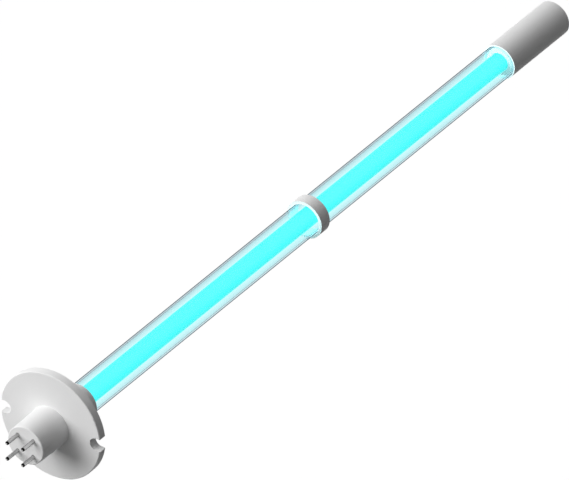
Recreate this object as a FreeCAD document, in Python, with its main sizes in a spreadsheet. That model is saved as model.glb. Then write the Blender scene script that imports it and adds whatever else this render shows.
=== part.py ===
import FreeCAD, Part
import math
import operator
import os
import Sketcher
from FreeCAD import Placement, Rotation, Vector

# Single-ended germicidal lamp: a slim discharge lamp inside a clear sleeve, carried by a
# moulded flange with four contact pins and closed by a moulded cap.
# The axis runs along +Y. The origin is on the axis, in the rear face of the flange disc,
# which seats on the wall of a duct or tank. The pins point to -Y and the lamp to +Y.

SIZES = {
    "reach": (609.6, "seat of the flange to the far end of the cap"),
    "flange_diameter": (86.0, "mounting disc"),
    "flange_thickness": (7.0, "mounting disc"),
    "flange_bevel": (0.5, "bevel of the disc's rim"),
    "notch_width": (10.4, "screw notches in the rim"),
    "notch_depth": (8.8, "rim to the round end of a notch"),
    "hub_length": (29.5, "pin side of the disc"),
    "hub_face_diameter": (30.6, "hub at the pins"),
    "hub_root_diameter": (31.8, "hub at the disc"),
    "hub_front_wall": (5.0, "wall that carries the pins"),
    "hub_bevel": (0.5, "bevel of the hub's face and of the spigot's mouth"),
    "spigot_length": (28.5, "collar that enters the hole in the duct"),
    "spigot_diameter": (30.4, "collar that enters the hole in the duct"),
    "socket_depth": (32.0, "sleeve socket, from the mouth of the spigot"),
    "pin_diameter": (2.8, "contact pins"),
    "pin_spacing": (13.5, "side of the square of pins"),
    "pin_protrusion": (13.5, "pin tip to the hub's face"),
    "shank_diameter": (3.4, "thicker back part of a pin, moulded into the front wall"),
    "shank_tail": (5.0, "shank behind the front wall, where a wire is soldered on"),
    "sleeve_diameter": (25.4, "clear outer sleeve"),
    "sleeve_wall": (1.7, "clear outer sleeve"),
    "sleeve_bevel": (0.4, "ground bevel on the ends of the sleeve"),
    "collar_diameter": (30.1, "ring round the middle of the sleeve"),
    "collar_length": (10.0, "ring round the middle of the sleeve"),
    "collar_position": (300.0, "seat of the flange to the ring"),
    "cap_diameter": (27.4, "cap over the far end of the sleeve"),
    "cap_length": (69.0, "cap over the far end of the sleeve"),
    "cap_end_wall": (4.6, "closed end of the cap"),
    "cap_socket_depth": (29.4, "sleeve socket in the cap"),
    "cap_bevel": (0.7, "bevel of the closed end"),
    "lamp_diameter": (14.3, "discharge tube"),
    "lamp_wall": (0.9, "discharge tube"),
    "pinch_length": (9.0, "flat seal at each end of the discharge tube"),
    "pinch_width": (11.5, "flat seal"),
    "pinch_thickness": (3.6, "flat seal"),
    "ferrule_wall": (1.5, "ceramic ferrules on the ends of the discharge tube"),
    "ferrule_end_wall": (3.0, "ceramic ferrules"),
    "pinch_gap": (3.0, "flat seal to the end wall of its ferrule"),
    "disc_thickness": (6.0, "disc of a ferrule, which centres it in the sleeve"),
    "disc_inset": (0.4, "disc of a ferrule below the mouth of its socket"),
    "rib_thickness": (2.4, "ribs that centre the ferrules"),
    "rib_length": (9.0, "ribs beside the far ferrule"),
    "rest_width": (2.3, "step on the ribs under a ferrule"),
    "near_wire_room": (17.0, "front wall to the step on the ribs"),
    "far_wire_room": (10.0, "closed end to the step on the ribs"),
    "lead_diameter": (0.8, "lead-in rods through the flat seals"),
    "lead_spacing": (7.6, "the two lead-in rods, middle to middle"),
    "lead_stub": (1.5, "lead-in rods outside the seal"),
    "filament_distance": (26.5, "outer end of the seal to the filament"),
    "filament_diameter": (1.8, "coiled filament between the rods"),
    "wire_diameter": (1.3, "insulated wires"),
    "lane_spread": (2.8, "the two return wires, middle to middle"),
    "slide_gap": (0.15, "radial clearance of pieces that slide together"),
    "press_gap": (0.03, "radial clearance of pieces that are pressed or sealed"),
    "end_gap": (0.05, "axial clearance of faces that meet"),
    "tail_gap": (0.5, "tail of a shank to the wall beside it"),
}

# The return wires lie on the side of the discharge tube that this angle gives, counted from
# +X towards +Z. It is away from the side that faces a person who looks in past the pins.
LANE_ANGLE = 230.6
QUARTER_TURN = 90.0
DIAGONAL = math.sqrt(2.0) / 2.0
# How a swept wire turns a corner: straight runs that meet in a flat joint.
MITRED = 1
# The flat end of a pin, and the length of the bevel round it, in shares of the pin's radius.
TIP_FLAT = 0.5
TIP_BEVEL = 0.6
# Runs of the wires, in wire thicknesses: straight on at a shank, from the last bend to the
# ferrule, and in from the ribs for the wire that passes under them.
RUN_AT_SHANK = 1.7
RUN_TO_FERRULE = 2.8
RUN_INSIDE_RIBS = 1.7
# Shares: of the room at the closed end where the return wires turn back, and of the lane's
# distance across that the second of them has reached halfway to its ferrule.
TURN_BACK_SHARE = 0.65
HALFWAY_SHARE = 0.2
# How near a rim has to be to its place in mm, and the share by which a wire's volume may differ.
PLACE_TOLERANCE = 1e-4
VOLUME_TOLERANCE = 0.01

OPERATIONS = {
    "+": operator.add,
    "-": operator.sub,
    "*": operator.mul,
    "/": operator.truediv,
}


class Size:
    """A length that carries both its number and its formula in the sheet."""

    def __init__(self, number, formula):
        self.number = number
        self.formula = formula

    def __add__(self, other):
        return joined(self, "+", other)

    def __radd__(self, other):
        return joined(other, "+", self)

    def __sub__(self, other):
        return joined(self, "-", other)

    def __rsub__(self, other):
        return joined(other, "-", self)

    def __mul__(self, other):
        return joined(self, "*", other)

    def __rmul__(self, other):
        return joined(other, "*", self)

    def __truediv__(self, other):
        return joined(self, "/", other)

    def __neg__(self):
        return Size(-self.number, "(0 - " + self.formula + ")")


def as_size(value):
    """A plain number as a size of its own."""
    if isinstance(value, Size):
        return value
    return Size(float(value), repr(float(value)))


def joined(left, sign, right):
    """Two sizes put together by one of the four operations."""
    left = as_size(left)
    right = as_size(right)
    number = OPERATIONS[sign](left.number, right.number)
    return Size(number, "(" + left.formula + " " + sign + " " + right.formula + ")")


doc = FreeCAD.newDocument("germicidal_lamp")

sheet = doc.addObject("Spreadsheet::Sheet", "sizes")
for row, (name, (number, note)) in enumerate(SIZES.items(), start=1):
    sheet.set("A%d" % row, name)
    sheet.set("B%d" % row, str(number))
    sheet.set("C%d" % row, note)
    sheet.setAlias("B%d" % row, name)
doc.recompute()


def size(name):
    """A driving size, read from the sheet."""
    return Size(float(sheet.get(name)), "sizes." + name)


# Drawing helpers


def new_body(label, along):
    """An empty body whose own origin lies on the lamp's axis, at the given place along it."""
    body = doc.addObject("PartDesign::Body", label)
    body.Label = label
    body.setExpression("Placement.Base.y", as_size(along).formula)
    return body


def new_sketch(body, name, plane):
    """An empty sketch on one of the body's own planes."""
    sketch = body.newObject("Sketcher::SketchObject", name)
    for feature in body.Origin.OriginFeatures:
        if feature.Role == plane:
            sketch.AttachmentSupport = [(feature, "")]
    sketch.MapMode = "FlatFace"
    return sketch


def hold(sketch, line, end, across=None, up=None):
    """Fixes a point of the sketch at the given distances from the sketch's origin."""
    for kind, axis, place in (("DistanceX", -2, across), ("DistanceY", -1, up)):
        if place is None:
            continue
        if isinstance(place, Size):
            index = sketch.addConstraint(
                Sketcher.Constraint(kind, -1, 1, line, end, place.number)
            )
            sketch.setExpression("Constraints[%d]" % index, place.formula)
        else:
            sketch.addConstraint(Sketcher.Constraint("PointOnObject", line, end, axis))


def flat(across, up):
    """A point of a sketch, from sizes or zeros."""
    return Vector(as_size(across).number, as_size(up).number, 0)


def draw_outline(sketch, corners):
    """Draws a closed outline. A corner is (across, up), and the edge that arrives at it is
    straight, or an arc where a third entry gives the arc's centre."""
    edges = []
    for index, corner in enumerate(corners):
        start = flat(*corners[index - 1][:2])
        end = flat(*corner[:2])
        if len(corner) == 2:
            edges.append((sketch.addGeometry(Part.LineSegment(start, end)), 1, 2))
            continue
        centre = flat(*corner[2])
        begin = math.atan2(start.y - centre.y, start.x - centre.x)
        finish = math.atan2(end.y - centre.y, end.x - centre.x)
        forward = (finish - begin) % (2 * math.pi) < math.pi + 1e-6
        if not forward:
            begin, finish = finish, begin
        circle = Part.Circle(centre, Vector(0, 0, 1), (start - centre).Length)
        arc = sketch.addGeometry(Part.ArcOfCircle(circle, begin, finish))
        edges.append((arc, 1, 2) if forward else (arc, 2, 1))
        hold(sketch, arc, 3, across=corner[2][0])
    for index, (edge, _, end) in enumerate(edges):
        follower, begin, _ = edges[(index + 1) % len(edges)]
        sketch.addConstraint(Sketcher.Constraint("Coincident", edge, end, follower, begin))
        hold(sketch, edge, end, *corners[index][:2])


def draw_circle(sketch, across, up, diameter):
    """Draws one circle."""
    circle = sketch.addGeometry(Part.Circle(flat(across, up), Vector(0, 0, 1), diameter.number / 2))
    hold(sketch, circle, 3, across, up)
    index = sketch.addConstraint(Sketcher.Constraint("Diameter", circle, diameter.number))
    sketch.setExpression("Constraints[%d]" % index, diameter.formula)


def turn(body, name, corners, kind="PartDesign::Revolution"):
    """Turns an outline round the axis: across is the radius, up runs along the axis."""
    sketch = new_sketch(body, name + "_outline", "XY_Plane")
    draw_outline(sketch, corners)
    feature = body.newObject(kind, name)
    feature.Profile = sketch
    feature.ReferenceAxis = (sketch, ["V_Axis"])
    feature.Angle = 360
    doc.recompute()
    return feature


def cut_along_axis(body, name, draw):
    """Cuts what draw puts in a cross-section sketch all the way along the body."""
    sketch = new_sketch(body, name + "_outline", "XZ_Plane")
    draw(sketch)
    before = body.Shape.Volume
    pocket = body.newObject("PartDesign::Pocket", name)
    pocket.Profile = sketch
    pocket.Type = "ThroughAll"
    pocket.Midplane = True
    doc.recompute()
    if not body.Shape.Volume < before:
        raise RuntimeError(name + " cuts nothing")
    return pocket


def repeat_round_axis(body, name, feature, count):
    """Repeats a feature round the lamp's axis."""
    pattern = body.newObject("PartDesign::PolarPattern", name)
    pattern.Originals = [feature]
    for axis in body.Origin.OriginFeatures:
        if axis.Role == "Y_Axis":
            pattern.Axis = (axis, [""])
    pattern.Angle = 360
    pattern.Occurrences = count
    body.Tip = pattern
    doc.recompute()
    return pattern


def bevel_rims(body, name, width, places):
    """Bevels the circular rims at the given (radius, place along the body) pairs."""
    base = body.Tip
    chosen = []
    for index, edge in enumerate(base.Shape.Edges, start=1):
        if not isinstance(edge.Curve, Part.Circle):
            continue
        for rim_radius, along in places:
            off_radius = abs(edge.Curve.Radius - as_size(rim_radius).number)
            off_place = abs(edge.Curve.Center.y - as_size(along).number)
            if max(off_radius, off_place) < PLACE_TOLERANCE:
                chosen.append("Edge%d" % index)
    if not chosen:
        raise RuntimeError(name + " finds no rim")
    bevel = body.newObject("PartDesign::Chamfer", name)
    bevel.Base = (base, chosen)
    bevel.setExpression("Size", width.formula)
    body.Tip = bevel
    doc.recompute()
    return bevel


def new_wire(label, diameter, points):
    """A round wire of one thickness that runs straight from point to point."""
    path = Part.makePolygon(points)
    first_run = points[1] - points[0]
    end = Part.Wire([Part.Circle(points[0], first_run, diameter / 2).toShape()])
    shape = path.makePipeShell([end], True, False, MITRED)
    expected = math.pi * diameter**2 / 4 * path.Length
    if abs(shape.Volume - expected) > VOLUME_TOLERANCE * expected:
        raise RuntimeError(label + " isn't as large as its path and section")
    feature = doc.addObject("Part::Feature", label)
    feature.Label = label
    feature.Shape = shape
    feature.Placement = Placement()
    return feature


# Fits and places that follow from the driving sizes

slide_gap = size("slide_gap")
press_gap = size("press_gap")
end_gap = size("end_gap")
sleeve_radius = size("sleeve_diameter") / 2
sleeve_bore_radius = sleeve_radius - size("sleeve_wall")
socket_radius = sleeve_radius + slide_gap
lamp_radius = size("lamp_diameter") / 2
lamp_bore_radius = lamp_radius - size("lamp_wall")
ferrule_bore_radius = lamp_radius + slide_gap
ferrule_radius = ferrule_bore_radius + size("ferrule_wall")
rib_radius = ferrule_radius + slide_gap
rest_radius = ferrule_radius - size("rest_width")
pin_place = size("pin_spacing") / 2
pin_circle_radius = pin_place / DIAGONAL
hub_cavity_radius = pin_circle_radius + size("shank_diameter") / 2 + size("tail_gap")
cap_cavity_radius = sleeve_bore_radius + slide_gap
lane_radius = (ferrule_radius + sleeve_bore_radius) / 2

hub_face = -(size("flange_thickness") + size("hub_length"))
front_wall_back = hub_face + size("hub_front_wall")
socket_floor = size("spigot_length") - size("socket_depth")
sleeve_start = socket_floor + end_gap
cap_mouth = size("reach") - size("cap_length")
cap_socket_floor = cap_mouth + size("cap_socket_depth")
sleeve_end = cap_socket_floor - end_gap
near_rest = front_wall_back + size("near_wire_room")
far_inner_end = size("reach") - size("cap_end_wall")
far_rest = far_inner_end - size("far_wire_room")
near_ferrule_end = near_rest + end_gap
far_ferrule_end = far_rest - end_gap
near_seal_end = near_ferrule_end + size("ferrule_end_wall") + size("pinch_gap")
far_seal_end = far_ferrule_end - size("ferrule_end_wall") - size("pinch_gap")


# Mounting flange: one moulding with the hub, the disc and the spigot


def make_mounting_flange():
    body = new_body("mounting_flange", hub_face)
    hub_face_radius = size("hub_face_diameter") / 2
    flange_radius = size("flange_diameter") / 2
    spigot_radius = size("spigot_diameter") / 2
    disc_front = size("hub_length")
    disc_back = disc_front + size("flange_thickness")
    mouth = disc_back + size("spigot_length")
    floor = mouth - size("socket_depth")
    wall = size("hub_front_wall")
    turn(
        body,
        "flange_shell",
        [
            (0, 0),
            (hub_face_radius, 0),
            (size("hub_root_diameter") / 2, disc_front),
            (flange_radius, disc_front),
            (flange_radius, disc_back),
            (spigot_radius, disc_back),
            (spigot_radius, mouth),
            (socket_radius, mouth),
            (socket_radius, floor),
            (hub_cavity_radius, floor),
            (hub_cavity_radius, wall),
            (0, wall),
        ],
    )
    add_ribs(body, wall, wall + size("near_wire_room"), floor, hub_cavity_radius)

    def draw_notch(sketch):
        half = size("notch_width") / 2
        round_middle = flange_radius - size("notch_depth") + half
        outside = flange_radius + size("notch_width")
        draw_outline(
            sketch,
            [
                (outside, -half),
                (outside, half),
                (round_middle, half),
                (round_middle, -half, (round_middle, 0)),
            ],
        )

    notch = cut_along_axis(body, "notch", draw_notch)
    repeat_round_axis(body, "notches", notch, 2)

    def draw_pin_holes(sketch):
        hole = size("shank_diameter") + 2 * press_gap
        for across in (-pin_place, pin_place):
            for up in (-pin_place, pin_place):
                draw_circle(sketch, across, up, hole)

    cut_along_axis(body, "pin_holes", draw_pin_holes)
    rims = [(flange_radius, disc_front), (flange_radius, disc_back)]
    bevel_rims(body, "disc_rims", size("flange_bevel"), rims)
    rims = [(hub_face_radius, 0), (spigot_radius, mouth)]
    bevel_rims(body, "hub_and_spigot_rims", size("hub_bevel"), rims)
    return body


def add_ribs(body, root, step, top, wall_radius):
    """Four ribs on the inside of a cavity, from its end wall at root up to top. They centre
    a ferrule above the step, and its end rests on the wider part below the step."""
    sketch = new_sketch(body, "rib_outline", "XY_Plane")
    buried = size("rib_thickness") / 2
    draw_outline(
        sketch,
        [
            (rest_radius, root),
            (rest_radius, step),
            (rib_radius, step),
            (rib_radius, top),
            (wall_radius + buried, top),
            (wall_radius + buried, root),
        ],
    )
    rib = body.newObject("PartDesign::Pad", "rib")
    rib.Profile = sketch
    rib.Midplane = True
    rib.setExpression("Length", size("rib_thickness").formula)
    doc.recompute()
    repeat_round_axis(body, "ribs", rib, 4)


# Contact pins: turned, with a thicker shank in the front wall


def make_contact_pin(number, across, up):
    body = new_body("contact_pin_%d" % number, hub_face - size("pin_protrusion"))
    body.setExpression("Placement.Base.x", across.formula)
    body.setExpression("Placement.Base.z", up.formula)
    radius = size("pin_diameter") / 2
    shank_radius = size("shank_diameter") / 2
    shank_front = size("pin_protrusion")
    shank_back = shank_front + size("hub_front_wall") + size("shank_tail")
    turn(
        body,
        "pin_shape",
        [
            (0, 0),
            (TIP_FLAT * radius, 0),
            (radius, TIP_BEVEL * radius),
            (radius, shank_front),
            (shank_radius, shank_front),
            (shank_radius, shank_back),
            (0, shank_back),
        ],
    )
    return body


# Tubular pieces: sleeve, middle collar and end cap


def make_ring(label, along, inner, outer, length):
    """A plain tube, from inner to outer radius."""
    body = new_body(label, along)
    turn(body, label + "_shape", [(inner, 0), (outer, 0), (outer, length), (inner, length)])
    return body


def make_outer_sleeve():
    length = sleeve_end - sleeve_start
    body = make_ring("outer_sleeve", sleeve_start, sleeve_bore_radius, sleeve_radius, length)
    rims = [(sleeve_radius, 0), (sleeve_radius, length)]
    bevel_rims(body, "ground_ends", size("sleeve_bevel"), rims)
    return body


def make_middle_collar():
    outer = size("collar_diameter") / 2
    length = size("collar_length")
    return make_ring("middle_collar", size("collar_position"), socket_radius, outer, length)


def make_end_cap():
    body = new_body("end_cap", cap_mouth)
    outer = size("cap_diameter") / 2
    length = size("cap_length")
    inner_end = length - size("cap_end_wall")
    floor = size("cap_socket_depth")
    turn(
        body,
        "cap_shell",
        [
            (socket_radius, 0),
            (outer, 0),
            (outer, length),
            (0, length),
            (0, inner_end),
            (cap_cavity_radius, inner_end),
            (cap_cavity_radius, floor),
            (socket_radius, floor),
        ],
    )
    step = inner_end - size("far_wire_room")
    add_ribs(body, inner_end, step, step - size("rib_length"), cap_cavity_radius)
    bevel_rims(body, "cap_end_rim", size("cap_bevel"), [(outer, length)])
    return body


# Ceramic ferrules: long cups over the ends of the discharge tube. A disc at the mouth centres
# them in the sleeve, and the end wall lets two wires through.


def draw_wire_notch(sketch):
    """A square notch in the rim of a disc, on the side of the return wires."""
    wire = size("wire_diameter")
    half = (size("lane_spread") + wire) / 2 + slide_gap
    inner = lane_radius - wire / 2 - slide_gap
    outer = sleeve_bore_radius + wire
    towards = (math.cos(math.radians(LANE_ANGLE)), math.sin(math.radians(LANE_ANGLE)))
    sideways = (-towards[1], towards[0])
    corners = []
    for along, side in ((inner, -half), (outer, -half), (outer, half), (inner, half)):
        across = along * towards[0] + side * sideways[0]
        up = along * towards[1] + side * sideways[1]
        corners.append((across, up))
    draw_outline(sketch, corners)


def make_ferrule(label, low, high, opens_up):
    """Reaches from low to high along the axis, and opens to +Y or else to -Y."""
    body = new_body(label, low)
    length = high - low
    floor = size("ferrule_end_wall")
    disc = length - size("disc_thickness")
    rim = sleeve_bore_radius - slide_gap
    corners = [
        (0, 0),
        (ferrule_radius, 0),
        (ferrule_radius, disc),
        (rim, disc),
        (rim, length),
        (ferrule_bore_radius, length),
        (ferrule_bore_radius, floor),
        (0, floor),
    ]
    if not opens_up:
        corners = [(across, length - up) for across, up in corners]
    turn(body, "ferrule_shape", corners)
    cut_along_axis(body, "wire_notch", draw_wire_notch)

    def draw_wire_holes(sketch):
        hole = size("wire_diameter") + 2 * slide_gap
        for across in (-size("lead_spacing") / 2, size("lead_spacing") / 2):
            draw_circle(sketch, across, 0, hole)

    cut_along_axis(body, "wire_holes", draw_wire_holes)
    return body


# Discharge tube: one piece of quartz, tapered and pinched flat at both ends


def make_lamp_tube():
    body = new_body("lamp_tube", near_seal_end)
    length = far_seal_end - near_seal_end
    near_nose = size("pinch_length")
    far_nose = length - size("pinch_length")
    nose_radius = lamp_radius / 2
    taper_length = lamp_radius / 2
    near_shoulder = near_nose + taper_length
    far_shoulder = far_nose - taper_length
    turn(
        body,
        "envelope",
        [
            (0, near_nose),
            (nose_radius, near_nose),
            (lamp_radius, near_shoulder),
            (lamp_radius, far_shoulder),
            (nose_radius, far_nose),
            (0, far_nose),
        ],
    )
    add_flat_seal(body, "near_seal", 0, near_shoulder)
    add_flat_seal(body, "far_seal", far_shoulder, length)
    turn(
        body,
        "bore",
        [
            (0, near_shoulder),
            (lamp_bore_radius, near_shoulder),
            (lamp_bore_radius, far_shoulder),
            (0, far_shoulder),
        ],
        kind="PartDesign::Groove",
    )

    def draw_lead_holes(sketch):
        hole = size("lead_diameter") + 2 * press_gap
        for across in (-size("lead_spacing") / 2, size("lead_spacing") / 2):
            draw_circle(sketch, across, 0, hole)

    cut_along_axis(body, "lead_holes", draw_lead_holes)
    return body


def add_flat_seal(body, name, low, high):
    """The pinched end: a flat bar that runs on into the taper."""
    sketch = new_sketch(body, name + "_outline", "XY_Plane")
    half = size("pinch_width") / 2
    draw_outline(sketch, [(-half, low), (half, low), (half, high), (-half, high)])
    bar = body.newObject("PartDesign::Pad", name)
    bar.Profile = sketch
    bar.Midplane = True
    bar.setExpression("Length", size("pinch_thickness").formula)
    doc.recompute()


# Electrodes: two lead-in rods through each seal, and a filament across their tips


def make_electrode(label, seal_end, turned):
    """Runs from outside the seal to +Y, or to -Y if turned. The fine coil of the filament
    is left plain here: a rod as thick as the coil."""
    stub = size("lead_stub")
    body = new_body(label, seal_end + stub if turned else seal_end - stub)
    if turned:
        body.Placement.Rotation = Rotation(Vector(0, 0, 1), 2 * QUARTER_TURN)
    rods = new_sketch(body, "rod_sections", "XZ_Plane")
    for across in (-size("lead_spacing") / 2, size("lead_spacing") / 2):
        draw_circle(rods, across, 0, size("lead_diameter"))
    pad = body.newObject("PartDesign::Pad", "lead_in_rods")
    pad.Profile = rods
    pad.Reversed = True
    pad.setExpression("Length", (stub + size("filament_distance")).formula)
    bar = new_sketch(body, "filament_section", "YZ_Plane")
    draw_circle(bar, stub + size("filament_distance"), 0, size("filament_diameter"))
    coil = body.newObject("PartDesign::Pad", "filament")
    coil.Profile = bar
    coil.Midplane = True
    coil.setExpression("Length", (size("lead_spacing") + 2 * size("lead_diameter")).formula)
    doc.recompute()
    return body


# Wires: two short ones to the near electrode, two that return from the far one


def lane_point(side):
    """Where a return wire crosses the section of the lamp, as (x, z) numbers."""
    angle = math.radians(LANE_ANGLE)
    spread = side * size("lane_spread").number / 2
    across = lane_radius.number * math.cos(angle) - spread * math.sin(angle)
    up = lane_radius.number * math.sin(angle) + spread * math.cos(angle)
    return across, up


def make_wires():
    thickness = size("wire_diameter").number
    pin = pin_place.number
    lead = size("lead_spacing").number / 2
    shank_back = front_wall_back + size("shank_tail")
    start = (shank_back + end_gap).number
    first_bend = (shank_back + size("wire_diameter") * RUN_AT_SHANK).number
    near_end = (near_seal_end - size("lead_stub") - end_gap).number
    far_end = (far_seal_end + size("lead_stub") + end_gap).number
    before_ferrule = (near_ferrule_end - size("wire_diameter") * RUN_TO_FERRULE).number
    for number, hand in enumerate((-1, 1), start=1):
        points = [
            Vector(hand * pin, start, pin),
            Vector(hand * pin, first_bend, pin),
            Vector(hand * lead, before_ferrule, 0),
            Vector(hand * lead, near_end, 0),
        ]
        new_wire("near_wire_%d" % number, thickness, points)

    turn_back = (far_rest + size("far_wire_room") * TURN_BACK_SHARE).number
    inside_ribs = rest_radius.number - RUN_INSIDE_RIBS * thickness
    for number, hand in enumerate((-1, 1), start=1):
        lane = lane_point(hand)
        points = [Vector(hand * pin, start, -pin), Vector(hand * pin, first_bend, -pin)]
        if hand > 0:
            halfway = (first_bend + before_ferrule) / 2
            points.append(Vector(lane[0] * HALFWAY_SHARE, halfway, -inside_ribs))
        points += [
            Vector(lane[0], before_ferrule, lane[1]),
            Vector(lane[0], turn_back, lane[1]),
            Vector(hand * lead, turn_back, 0),
            Vector(hand * lead, far_end, 0),
        ]
        new_wire("return_wire_%d" % number, thickness, points)


def make_all():
    make_mounting_flange()
    pin_number = 0
    for up in (pin_place, -pin_place):
        for across in (-pin_place, pin_place):
            pin_number += 1
            make_contact_pin(pin_number, across, up)
    make_outer_sleeve()
    make_middle_collar()
    make_end_cap()
    near_mouth = size("spigot_length") - size("disc_inset")
    far_mouth = cap_mouth + size("disc_inset")
    make_ferrule("near_ferrule", near_ferrule_end, near_mouth, opens_up=True)
    make_ferrule("far_ferrule", far_mouth, far_ferrule_end, opens_up=False)
    make_lamp_tube()
    make_electrode("near_electrode", near_seal_end, turned=False)
    make_electrode("far_electrode", far_seal_end, turned=True)
    make_wires()


def sub_parts():
    """The bodies and the wires, each of which becomes one file."""
    for item in doc.Objects:
        if item.isDerivedFrom("PartDesign::Body") or item.TypeId == "Part::Feature":
            yield item


def check_and_write():
    """Stops at anything that failed, then writes one file for each sub-part."""
    doc.recompute()
    for item in doc.Objects:
        if "Invalid" in item.State or "Error" in item.State:
            raise RuntimeError(item.Name + " didn't recompute")
    for part in sub_parts():
        if part.Shape.isNull() or not part.Shape.isValid():
            raise RuntimeError(part.Label + " has no valid shape")
    os.makedirs("parts", exist_ok=True)
    for part in sub_parts():
        part.Shape.exportStep("parts/" + part.Label + ".step")
        box = part.Shape.BoundBox
        print("%-16s %9.1f mm3, along Y %7.2f to %7.2f, %d solid(s)" % (
            part.Label, part.Shape.Volume, box.YMin, box.YMax, len(part.Shape.Solids)
        ))


make_all()
check_and_write()
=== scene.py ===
# %% [markdown]
# A germicidal lamp in its clear sleeve. The real lamp is a slim quartz tube that glows light
# blue, inside a wider clear tube. A white moulded flange with four contact pins closes one
# end, a white cap closes the other, and a plain ring sits round the middle. The solid pieces
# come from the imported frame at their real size. This file gives each one its finish, sets
# up the studio and places the camera.

# %% Load the frame
import math

import bpy
from mathutils import Matrix, Vector


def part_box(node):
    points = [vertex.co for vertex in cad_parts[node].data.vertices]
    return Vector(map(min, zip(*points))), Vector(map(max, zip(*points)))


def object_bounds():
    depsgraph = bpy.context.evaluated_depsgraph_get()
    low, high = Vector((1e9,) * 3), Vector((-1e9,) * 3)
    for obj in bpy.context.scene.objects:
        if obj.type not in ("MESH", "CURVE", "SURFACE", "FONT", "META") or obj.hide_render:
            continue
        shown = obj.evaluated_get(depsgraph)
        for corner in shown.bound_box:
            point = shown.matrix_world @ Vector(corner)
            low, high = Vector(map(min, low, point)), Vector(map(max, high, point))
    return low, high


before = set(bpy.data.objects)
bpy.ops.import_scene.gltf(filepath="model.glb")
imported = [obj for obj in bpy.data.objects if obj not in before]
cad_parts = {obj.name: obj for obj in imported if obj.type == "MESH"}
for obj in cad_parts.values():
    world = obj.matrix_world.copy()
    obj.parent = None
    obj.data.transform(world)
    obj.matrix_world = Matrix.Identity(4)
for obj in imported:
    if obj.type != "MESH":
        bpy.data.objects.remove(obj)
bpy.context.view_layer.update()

print("pieces from the frame:", len(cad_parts))

# %% [markdown]
# Sizes are in metres. The places that a finish or a detail needs are read from the frame's
# own boxes, so that they follow the solids.

# %% Sizes and places
MM = 0.001
SPIGOT_MOUTH_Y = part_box("mounting_flange")[1].y
SLEEVE_RADIUS = (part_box("outer_sleeve")[1].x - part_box("outer_sleeve")[0].x) / 2
LAMP_RADIUS = (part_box("lamp_tube")[1].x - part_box("lamp_tube")[0].x) / 2
CAP_MOUTH_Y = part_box("end_cap")[0].y
CAP_END_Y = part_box("end_cap")[1].y
LOWEST_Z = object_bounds()[0].z
print("sleeve radius %.4f, lamp radius %.4f" % (SLEEVE_RADIUS, LAMP_RADIUS))


# %% [markdown]
# Shader maths reads best as arithmetic. A Signal wraps one output socket and overloads the
# operators, so that `1 - mask * 0.2` adds the Math nodes by itself.

# %% A signal that can be reckoned with
class Signal:
    """One number that changes over a surface, held as an output socket."""

    def __init__(self, finish, socket):
        self.finish = finish
        self.socket = socket

    def __add__(self, other):
        return self.finish.maths("ADD", self, other)

    def __radd__(self, other):
        return self.finish.maths("ADD", other, self)

    def __sub__(self, other):
        return self.finish.maths("SUBTRACT", self, other)

    def __rsub__(self, other):
        return self.finish.maths("SUBTRACT", other, self)

    def __mul__(self, other):
        return self.finish.maths("MULTIPLY", self, other)

    def __rmul__(self, other):
        return self.finish.maths("MULTIPLY", other, self)

    def greater(self, other):
        return self.finish.maths("GREATER_THAN", self, other)

    def less(self, other):
        return self.finish.maths("LESS_THAN", self, other)

    def larger_of(self, other):
        return self.finish.maths("MAXIMUM", self, other)


# %% [markdown]
# A Finish is a material in the making. One method adds any other node: its type, its settings
# and then the values or links of its sockets. The rest are short names for the nodes that
# come back again and again.

# %% A finish in the making
class Finish:
    """A node tree in the making, of a material or of the world."""

    def __init__(self, owner):
        self.owner = owner
        owner.use_nodes = True
        self.tree = owner.node_tree
        self.tree.nodes.clear()

    def node(self, kind, settings=None, inputs=None, output=0):
        """Adds a node: settings first, then its sockets, and returns one output."""
        made = self.tree.nodes.new(kind)
        for name, value in (settings or {}).items():
            setattr(made, name, value)
        for name, value in (inputs or {}).items():
            socket = made.inputs[name]
            if isinstance(value, Signal):
                self.tree.links.new(value.socket, socket)
            else:
                socket.default_value = value
        return Signal(self, made.outputs[output]) if made.outputs else made

    def maths(self, operation, left, right):
        """One step of arithmetic, where either side is a number or a signal."""
        return self.node("ShaderNodeMath", {"operation": operation}, {0: left, 1: right})

    def vector(self, operation, left, right=(0.0, 0.0, 0.0), output="Vector"):
        """One step of vector arithmetic. A length or a dot product comes from the output Value."""
        settings = {"operation": operation}
        return self.node("ShaderNodeVectorMath", settings, {0: left, 1: right}, output=output)

    def place(self):
        """Where a point lies in the object's own frame, in metres."""
        return self.node("ShaderNodeTexCoord", output="Object")

    def facing(self):
        """0 where the surface faces the eye, and 1 where the eye looks along it."""
        return self.node("ShaderNodeLayerWeight", {}, {"Blend": 0.5}, output="Facing")

    def steps(self, value, low, high):
        """A soft step: 0 up to low and 1 from high on, where high may also be the smaller."""
        settings = {"interpolation_type": "SMOOTHSTEP"}
        return self.node("ShaderNodeMapRange", settings, {0: value, 1: low, 2: high, 3: 0.0, 4: 1.0})

    def noise(self, scale, detail):
        """Soft noise from 0 to 1, at that many cells to the metre."""
        inputs = {"Vector": self.place(), "Scale": scale, "Detail": detail}
        return self.node("ShaderNodeTexNoise", {}, inputs, output="Fac")

    def blend(self, factor, first, second):
        """A colour between two others. The Mix node's colours are inputs 6 and 7 and output 2."""
        inputs = {"Factor": factor, 6: first, 7: second}
        return self.node("ShaderNodeMix", {"data_type": "RGBA"}, inputs, output=2)

    def bump(self, height, distance, strength):
        """A normal that follows a height from 0 to 1, over that distance in metres."""
        inputs = {"Height": height, "Distance": distance, "Strength": strength}
        return self.node("ShaderNodeBump", {}, inputs)

    def surface(self, shader):
        """Connects the last shader to the output."""
        is_world = isinstance(self.owner, bpy.types.World)
        kind = "ShaderNodeOutputWorld" if is_world else "ShaderNodeOutputMaterial"
        self.node(kind, {}, {"Surface": shader})
        return self.owner


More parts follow.
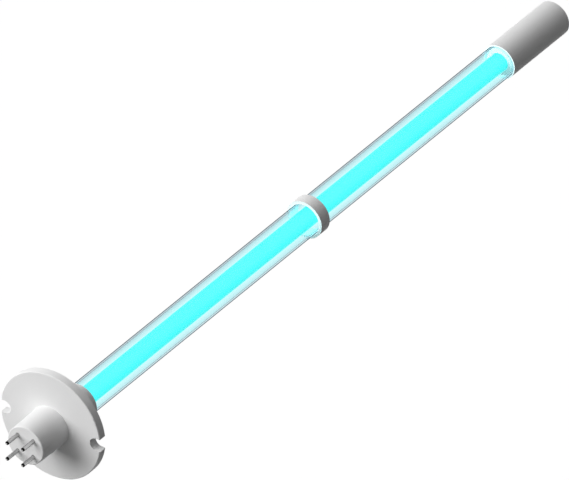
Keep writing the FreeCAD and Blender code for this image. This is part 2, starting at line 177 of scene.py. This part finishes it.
# %% [markdown]
# Colours are written in two ways: as the share of light that a material gives back, or as
# the value on a screen, for what is seen as plain light. Screen values have a curve in them,
# which from_screen takes out.

# %% Colours and pieces
def new_finish(name):
    """An empty material."""
    return Finish(bpy.data.materials.new(name))


def colour(red, green, blue):
    """A colour with its alpha."""
    return (red, green, blue, 1.0)


def from_screen(red, green, blue):
    """The linear colour of 0 to 255 screen values."""
    def linear(value):
        share = value / 255
        return share / 12.92 if share <= 0.04045 else ((share + 0.055) / 1.055) ** 2.4

    return (linear(red), linear(green), linear(blue), 1.0)


def dress(material, *names):
    """Gives a material to whole pieces of the frame."""
    for name in names:
        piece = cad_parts[name]
        piece.data.materials.clear()
        piece.data.materials.append(material)
    print(material.name, "on", ", ".join(names))


# %% [markdown]
# The flange, the ring and the cap are moulded in a white plastic that stands heat and
# ultraviolet light. Such a moulding is nearly even in colour. What tells it from paint is a
# soft sheen that differs a little from place to place, a fine grain from the tool, and slow
# waves where the wall shrank. Noise at four scales gives these: a wide one for the colour,
# one for the sheen, a fine one for the grain and a slow one for the waves.
#
# The glowing tube lights the plastic close to it: the bores of the ring and of the cap, down
# to 40 mm inside the cap, and their front faces. In a render that light comes out weaker
# than on the real lamp, so these places give a little light of their own as a stand-in. They
# are found by how far a point lies from the axis, and by where it lies along the lamp.

# %% White moulded plastic
CLOUD_SCALE = 28.0
SHEEN_SCALE = 160.0
GRAIN_SCALE = 3200.0
SINK_SCALE = 45.0
GRAIN_SHARE = 0.06
PLASTIC_BUMP = 0.05 * MM
RING_FRONT_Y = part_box("middle_collar")[0].y
BORE_DEPTH = 0.5 * MM
FRONT_DEPTH = 0.05 * MM
CAP_LIT_DEPTH = 40.0 * MM
# The share of the tube's light that each front face gives off.
LIT_FRONTS = {RING_FRONT_Y: 0.45, CAP_MOUTH_Y: 1.0}
LAMP_LIGHT = colour(0.50, 0.62, 0.64)


def distance_from_axis(finish):
    """How far a point lies from the lamp's axis, in metres."""
    flat = finish.vector("MULTIPLY", finish.place(), (1.0, 0.0, 1.0))
    return finish.vector("LENGTH", flat, output="Value")


def moulded_plastic():
    finish = new_finish("moulded_white")
    wide = finish.noise(CLOUD_SCALE, 3.0)
    middle = finish.noise(SHEEN_SCALE, 2.0)
    grain = finish.noise(GRAIN_SCALE, 2.0)
    sink = finish.noise(SINK_SCALE, 1.0)
    tone = finish.blend(wide, colour(0.805, 0.805, 0.805), colour(0.845, 0.845, 0.845))
    away = distance_from_axis(finish)
    along = finish.node("ShaderNodeSeparateXYZ", {}, {0: finish.place()}, output="Y")
    shine = away.less(SLEEVE_RADIUS + BORE_DEPTH)
    for front, share in LIT_FRONTS.items():
        is_front = along.less(front + FRONT_DEPTH) * along.greater(front - FRONT_DEPTH)
        shine = shine.larger_of(is_front * share)
    shine = shine * along.greater(SPIGOT_MOUTH_Y) * along.less(CAP_MOUTH_Y + CAP_LIT_DEPTH)
    shader = finish.node(
        "ShaderNodeBsdfPrincipled",
        {},
        {
            "Base Color": tone,
            "Roughness": 0.40 + middle * 0.12,
            "IOR": 1.46,
            "Specular IOR Level": 0.1,
            "Normal": finish.bump(grain * GRAIN_SHARE + sink, PLASTIC_BUMP, 0.6),
            "Emission Color": finish.blend(shine, colour(0.0, 0.0, 0.0), LAMP_LIGHT),
            "Emission Strength": 1.0,
        },
    )
    return finish.surface(shader)


dress(moulded_plastic(), "mounting_flange", "middle_collar", "end_cap")


# %% [markdown]
# The pins are turned from brass rod and plated with nickel. The lathe leaves rings that run
# round each pin, so the bump is a wave along the pin's length. Polished metal in a white room
# would be as white as the room. A metal's Specular Tint is its colour at a slanting look, and
# here it is black, so that a pin keeps slightly darker sides. The bevelled tips are painted
# near black, a painted reflection of dark surroundings; the flat ends keep the plating.

# %% Plated contact pins
PIN_NAMES = ["contact_pin_%d" % number for number in range(1, 5)]
PIN_TIP_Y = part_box(PIN_NAMES[0])[0].y
PIN_TIP_LENGTH = 1.3 * MM
PIN_TIP_FADE = 0.6 * MM
PIN_END_DEPTH = 0.03 * MM
LATHE_SCALE = 1100.0
LATHE_BUMP = 0.01 * MM
SMEAR_SCALE = 700.0


def plated_pin():
    finish = new_finish("pin_metal")
    place = finish.place()
    along = finish.node("ShaderNodeSeparateXYZ", {}, {0: place}, output="Y")
    rings = finish.node(
        "ShaderNodeTexWave",
        {"bands_direction": "Y"},
        {"Vector": place, "Scale": LATHE_SCALE, "Distortion": 1.5},
        output="Fac",
    )
    smear = finish.noise(SMEAR_SCALE, 3.0)
    # Painted reflection: the bevel of each tip is painted near black, the flat end is not.
    tip_end = PIN_TIP_Y + PIN_TIP_LENGTH
    painted_dark_tip = finish.steps(along, tip_end + PIN_TIP_FADE, tip_end)
    painted_dark_tip = painted_dark_tip * along.greater(PIN_TIP_Y + PIN_END_DEPTH)
    plating = finish.blend(smear, colour(0.44, 0.44, 0.44), colour(0.54, 0.54, 0.54))
    shader = finish.node(
        "ShaderNodeBsdfPrincipled",
        {},
        {
            "Base Color": finish.blend(painted_dark_tip, plating, colour(0.008, 0.008, 0.008)),
            "Metallic": 1.0,
            "Roughness": 0.30 + smear * 0.08,
            "Specular Tint": colour(0.0, 0.0, 0.0),
            "Normal": finish.bump(rings, LATHE_BUMP, 0.35),
        },
    )
    return finish.surface(shader)


dress(plated_pin(), *PIN_NAMES)


# %% [markdown]
# The sleeve is clear fused glass. Its wall has two faces that run side by side, so a look
# that enters at one leaves at the other in its old direction, and what is behind stays in
# its place. An IOR close to 1 gives a wall like that. The gloss of the real glass comes from
# a thin coat. A clear tube shows mostly by its sides, where the eye looks along the wall:
# there its outer face is painted greyer and ends in a painted fine dark line, a painted
# reflection of surroundings darker than the white room. The upper side is painted a little
# greyer still, a painted shade. Layer Weight tells where the sides are. Light from the lamps
# passes straight through, by the Is Shadow Ray output, so that the inside is lit as well.

# %% Clear sleeve
TO_WALL_MIDDLE = 0.8 * MM
WALL_MIDDLE = SLEEVE_RADIUS - TO_WALL_MIDDLE
# The direction across the lamp towards the key lamp: on that side the glass gets painted shade and
# the glow painted light.
UPPER_SIDE = Vector((-0.772, 0.0, 0.636))


def towards_upper_side(finish, radius):
    """From -1 to 1 over a piece of that radius, towards its upper side."""
    return finish.vector("DOT_PRODUCT", finish.place(), tuple(UPPER_SIDE / radius), output="Value")


def clear_glass():
    finish = new_finish("clear_sleeve")
    is_outer = distance_from_axis(finish).greater(WALL_MIDDLE)
    # Painted shade: the glass is painted a little greyer on its upper side.
    painted_upper_shade = finish.steps(towards_upper_side(finish, SLEEVE_RADIUS), -0.6, 0.6)
    painted_side_grey = finish.blend(painted_upper_shade, from_screen(206, 234, 240), from_screen(192, 214, 221))
    facing = finish.facing()
    # Painted reflection: the outer face is painted greyer where the eye looks along it,
    beside = finish.steps(facing, 0.32, 0.68) * is_outer
    clear = finish.blend(beside, from_screen(230, 254, 255), painted_side_grey)
    # and a fine dark line is painted at its very edge.
    painted_dark_edge = finish.steps(facing, 0.71, 0.80) * is_outer
    tint = finish.blend(painted_dark_edge, clear, from_screen(36, 46, 56))
    glass = finish.node(
        "ShaderNodeBsdfPrincipled",
        {},
        {
            "Base Color": tint,
            "Roughness": 0.0,
            "IOR": 1.02,
            "Transmission Weight": 1.0,
            "Coat Weight": 0.08,
            "Coat Roughness": 0.02,
            "Coat IOR": 1.46,
        },
    )
    open_way = finish.node("ShaderNodeBsdfTransparent", {}, {"Color": from_screen(240, 250, 252)})
    shadow_ray = finish.node("ShaderNodeLightPath", output="Is Shadow Ray")
    shader = finish.node("ShaderNodeMixShader", {}, {0: shadow_ray, 1: glass, 2: open_way})
    return finish.surface(shader)


dress(clear_glass(), "outer_sleeve")


# %% [markdown]
# The discharge fills the inner tube with an even glow. Seen from outside it has no depth, so
# the tube itself is the light: its surface gives light of the discharge's colour, a little
# deeper where the eye looks along the glass. Towards the upper side it is painted a little
# paler, painted light from the key lamp. A faint gloss, without a coat, is all that shows of
# the quartz.

# %% Glowing inner tube
GLOW_STRENGTH = 1.06
DRIFT_SCALE = 9.0


def glowing_tube():
    finish = new_finish("lamp_glow")
    drift = finish.noise(DRIFT_SCALE, 1.0)
    # Painted light: the glow is painted paler on its upper side.
    painted_upper_light = finish.steps(towards_upper_side(finish, LAMP_RADIUS), -0.9, 0.0)
    light = finish.blend(painted_upper_light, from_screen(72, 255, 254), from_screen(96, 255, 255))
    edge = finish.steps(finish.facing(), 0.18, 0.78)
    light = finish.blend(edge, light, from_screen(60, 222, 220))
    shader = finish.node(
        "ShaderNodeBsdfPrincipled",
        {},
        {
            "Base Color": colour(0.01, 0.05, 0.05),
            "Roughness": 0.08 + drift * 0.04,
            "Specular IOR Level": 0.1,
            "Emission Color": light,
            "Emission Strength": GLOW_STRENGTH,
        },
    )
    return finish.surface(shader)


dress(glowing_tube(), "lamp_tube")


# %% [markdown]
# The ferrules on the ends of the inner tube are unglazed ceramic: a dry white with a fine
# grain and no shine.

# %% Ceramic ferrules
CERAMIC_CLOUD_SCALE = 240.0
CERAMIC_GRAIN_SCALE = 2600.0
CERAMIC_BUMP = 0.03 * MM


def ceramic():
    finish = new_finish("ferrule_ceramic")
    cloud = finish.noise(CERAMIC_CLOUD_SCALE, 3.0)
    grain = finish.noise(CERAMIC_GRAIN_SCALE, 2.0)
    tone = finish.blend(cloud, colour(0.78, 0.79, 0.80), colour(0.84, 0.85, 0.86))
    shader = finish.node(
        "ShaderNodeBsdfPrincipled",
        {},
        {
            "Base Color": tone,
            "Roughness": 0.68 + cloud * 0.15,
            "Normal": finish.bump(grain, CERAMIC_BUMP, 0.5),
        },
    )
    return finish.surface(shader)


dress(ceramic(), "near_ferrule", "far_ferrule")


# %% [markdown]
# The wires are covered with a braid of glass yarn, which stands the heat beside the lamp.
# Two families of threads cross at an angle. Two waves that slope opposite ways along the
# wire give them, and the larger of the two at each point is the thread on top.

# %% Braided wire covers
THREAD_SLOPE = math.radians(38)
THREAD_SCALE = 420.0
THREAD_BUMP = 0.06 * MM


def braid():
    finish = new_finish("wire_cover")
    place = finish.place()
    threads = []
    for slope in (-THREAD_SLOPE, THREAD_SLOPE):
        turned = finish.node(
            "ShaderNodeMapping",
            {},
            {"Vector": place, "Rotation": (slope, slope, 0.0)},
        )
        threads.append(
            finish.node(
                "ShaderNodeTexWave",
                {"bands_direction": "Y"},
                {"Vector": turned, "Scale": THREAD_SCALE},
                output="Fac",
            )
        )
    top = threads[0].larger_of(threads[1])
    # Painted shade: the low places between the threads are painted darker.
    tone = finish.blend(top, colour(0.56, 0.55, 0.50), colour(0.83, 0.82, 0.79))
    shader = finish.node(
        "ShaderNodeBsdfPrincipled",
        {},
        {
            "Base Color": tone,
            "Roughness": 0.75 - top * 0.15,
            "Normal": finish.bump(top, THREAD_BUMP, 0.7),
        },
    )
    return finish.surface(shader)


WIRE_NAMES = ["near_wire_1", "near_wire_2", "return_wire_1", "return_wire_2"]
dress(braid(), *WIRE_NAMES)


# %% [markdown]
# Each electrode is two nickel rods with a tungsten coil across their tips. The coil carries
# a pale coating, so it looks dry and uneven, while the rods have a dull shine. Where a point
# lies along the lamp tells the two apart. The coil's turns are a wave across the bar.

# %% Electrodes
COIL_RADIUS = 0.95 * MM
COIL_TURN_SCALE = 550.0
COIL_BUMP = 0.2 * MM
CRUST_SCALE = 4000.0


def electrode_metal(name, coil_y):
    finish = new_finish(name)
    place = finish.place()
    along = finish.node("ShaderNodeSeparateXYZ", {}, {0: place}, output="Y")
    from_coil = finish.maths("ABSOLUTE", along - coil_y, 0.0)
    is_rod = from_coil.greater(COIL_RADIUS)
    turns = finish.node(
        "ShaderNodeTexWave",
        {"bands_direction": "X"},
        {"Vector": place, "Scale": COIL_TURN_SCALE},
        output="Fac",
    )
    crust = finish.noise(CRUST_SCALE, 3.0)
    nickel = finish.blend(crust, colour(0.42, 0.41, 0.39), colour(0.52, 0.51, 0.49))
    coating = finish.blend(crust, colour(0.40, 0.38, 0.35), colour(0.66, 0.64, 0.60))
    shader = finish.node(
        "ShaderNodeBsdfPrincipled",
        {},
        {
            "Base Color": finish.blend(is_rod, coating, nickel),
            "Metallic": is_rod,
            "Roughness": 0.80 - is_rod * 0.45 + crust * 0.1,
            "Normal": finish.bump(turns * (1.0 - is_rod), COIL_BUMP, 0.8),
        },
    )
    return finish.surface(shader)


near_coil_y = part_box("near_electrode")[1].y - COIL_RADIUS
far_coil_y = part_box("far_electrode")[0].y + COIL_RADIUS
dress(electrode_metal("near_electrode_metal", near_coil_y), "near_electrode")
dress(electrode_metal("far_electrode_metal", far_coil_y), "far_electrode")


# %% [markdown]
# The studio is white all round. A person, a mirror and a piece of glass see the plain white,
# while the light that falls on the object is set apart from it, by the Light Path outputs.
# So the ground stays white and the white plastic still shows its form.

# %% White surroundings
AMBIENT = 0.055


def seen_directly(finish):
    """1 for a look from the camera, from a mirror or through glass, else 0."""
    seen = finish.node("ShaderNodeLightPath", output="Is Camera Ray")
    for way in ("Is Glossy Ray", "Is Transmission Ray"):
        seen = seen.larger_of(finish.node("ShaderNodeLightPath", output=way))
    return seen


def white_world():
    world = bpy.data.worlds.new("surroundings")
    bpy.context.scene.world = world
    finish = Finish(world)
    seen = seen_directly(finish)
    light = finish.blend(seen, colour(AMBIENT, AMBIENT, AMBIENT), colour(1.0, 1.0, 1.0))
    finish.surface(finish.node("ShaderNodeBackground", {}, {"Color": light}))


white_world()
print("light from all round:", AMBIENT)


# %% [markdown]
# The floor lies well below the lamp, which is fixed by its flange and not stood on anything.
# Most of what is seen of its top is plain white, and the small rest is real shading, which
# keeps a faint shadow. It is open from below, so that the lamp can also be looked at from
# there.

# %% Pale floor
FLOOR_DROP = 0.55
FLOOR_SIZE = 5.0
FLOOR_MIDDLE_Y = 0.3
FLOOR_PLAIN_SHARE = 0.94
FLOOR_WHITE = 1.06
FLOOR_GRAIN_SCALE = 3.0


def pale_floor():
    middle = (0.0, FLOOR_MIDDLE_Y, LOWEST_Z - FLOOR_DROP)
    bpy.ops.mesh.primitive_plane_add(size=FLOOR_SIZE, location=middle)
    floor = bpy.context.object
    floor.name = "floor"
    finish = new_finish("floor_white")
    grain = finish.noise(FLOOR_GRAIN_SCALE, 2.0)
    tone = finish.blend(grain, colour(0.19, 0.19, 0.19), colour(0.21, 0.21, 0.21))
    shaded = finish.node("ShaderNodeBsdfDiffuse", {}, {"Color": tone})
    white = {"Color": colour(1.0, 1.0, 1.0), "Strength": FLOOR_WHITE}
    plain = finish.node("ShaderNodeEmission", {}, white)
    share = seen_directly(finish) * FLOOR_PLAIN_SHARE
    top = finish.node("ShaderNodeMixShader", {}, {0: share, 1: shaded, 2: plain})
    below = finish.node("ShaderNodeBsdfTransparent")
    back = finish.node("ShaderNodeNewGeometry", output="Backfacing")
    shader = finish.node("ShaderNodeMixShader", {}, {0: back, 1: top, 2: below})
    floor.data.materials.append(finish.surface(shader))
    print("floor at a height of %.3f m" % middle[2])


pale_floor()


# %% [markdown]
# The camera looks past the pins along the lamp, from the upper left. Its lens is very long,
# because the picture shows the sleeve equally wide at both ends. The direction comes from
# two angles, and the aim is a point beside the flange, given along the picture's own axes.

# %% Camera
VIEW_AZIMUTH = math.radians(35.48)
VIEW_ELEVATION = math.radians(35.28)
LENS = 1440.0
SENSOR = 36.0
FRAME_WIDTH = 0.40382
AIM_RIGHT = 0.16412
AIM_UP = 0.13017
DISC_THICKNESS = 7.0 * MM

right = Vector((math.cos(VIEW_AZIMUTH), math.sin(VIEW_AZIMUTH), 0.0))
forward = Vector(
    (
        -math.sin(VIEW_AZIMUTH) * math.cos(VIEW_ELEVATION),
        math.cos(VIEW_AZIMUTH) * math.cos(VIEW_ELEVATION),
        -math.sin(VIEW_ELEVATION),
    )
)
upward = right.cross(forward)
DISC_FRONT = Vector((0.0, -DISC_THICKNESS, 0.0))


def make_camera():
    camera_data = bpy.data.cameras.new("camera")
    camera = bpy.data.objects.new("camera", camera_data)
    bpy.context.scene.collection.objects.link(camera)
    camera_data.lens = LENS
    camera_data.sensor_width = SENSOR
    distance = FRAME_WIDTH * LENS / SENSOR
    middle_depth = forward.dot(Vector((0.0, CAP_END_Y / 2, 0.0)))
    aim = DISC_FRONT + right * AIM_RIGHT + upward * AIM_UP
    aim += forward * (middle_depth - forward.dot(aim))
    camera.location = aim - forward * distance
    camera.rotation_euler = Matrix((right, upward, -forward)).transposed().to_euler()
    camera_data.clip_start = distance / 2
    camera_data.clip_end = distance * 2
    bpy.context.scene.camera = camera
    return camera


camera = make_camera()
print("camera distance %.2f m" % (camera.location - DISC_FRONT).length)


# %% [markdown]
# One large lamp in front, at the upper left, gives the form its light side and its dark
# side. Its size keeps the shadow of the hub soft. Four weaker and still larger ones open the
# dark side a little: one in front from above, one at the side and two at the far end. No
# lamp is seen, not even in the metal.

# %% Studio lights
LAMP_DISTANCE = 2.4
LAMP_AIM = Vector((0.0, 0.25, 0.0))
# For each lamp: its direction from the aim, the length of its side in metres, and its watts.
STUDIO = {
    "key_lamp": ((-0.772, -1.0, 0.636), 1.8, 48.0),
    "front_lamp": ((-0.136, -1.0, 1.408), 2.8, 17.5),
    "side_lamp": ((-0.772, 0.0, 0.636), 2.8, 15.0),
    "far_side_lamp": ((-0.581, 1.0, 0.868), 2.8, 13.0),
    "far_lamp": ((0.636, 1.0, 0.772), 2.8, 4.0),
}


def soft_lamp(name, direction, side, power):
    """A square area lamp that faces the lamp tube from the given direction."""
    data = bpy.data.lights.new(name, "AREA")
    data.shape = "SQUARE"
    data.size = side
    data.energy = power
    lamp = bpy.data.objects.new(name, data)
    bpy.context.scene.collection.objects.link(lamp)
    away = Vector(direction).normalized()
    lamp.location = LAMP_AIM + away * LAMP_DISTANCE
    lamp.rotation_euler = away.to_track_quat("Z", "Y").to_euler()
    lamp.visible_camera = False
    lamp.visible_glossy = False


for name, (direction, side, power) in STUDIO.items():
    soft_lamp(name, direction, side, power)
print("studio lamps:", ", ".join(STUDIO))

# %% [markdown]
# The Standard view shows each colour as it is written, with no film curve over it.

# %% Picture settings
bpy.context.scene.view_settings.view_transform = "Standard"
print("view:", bpy.context.scene.view_settings.view_transform)
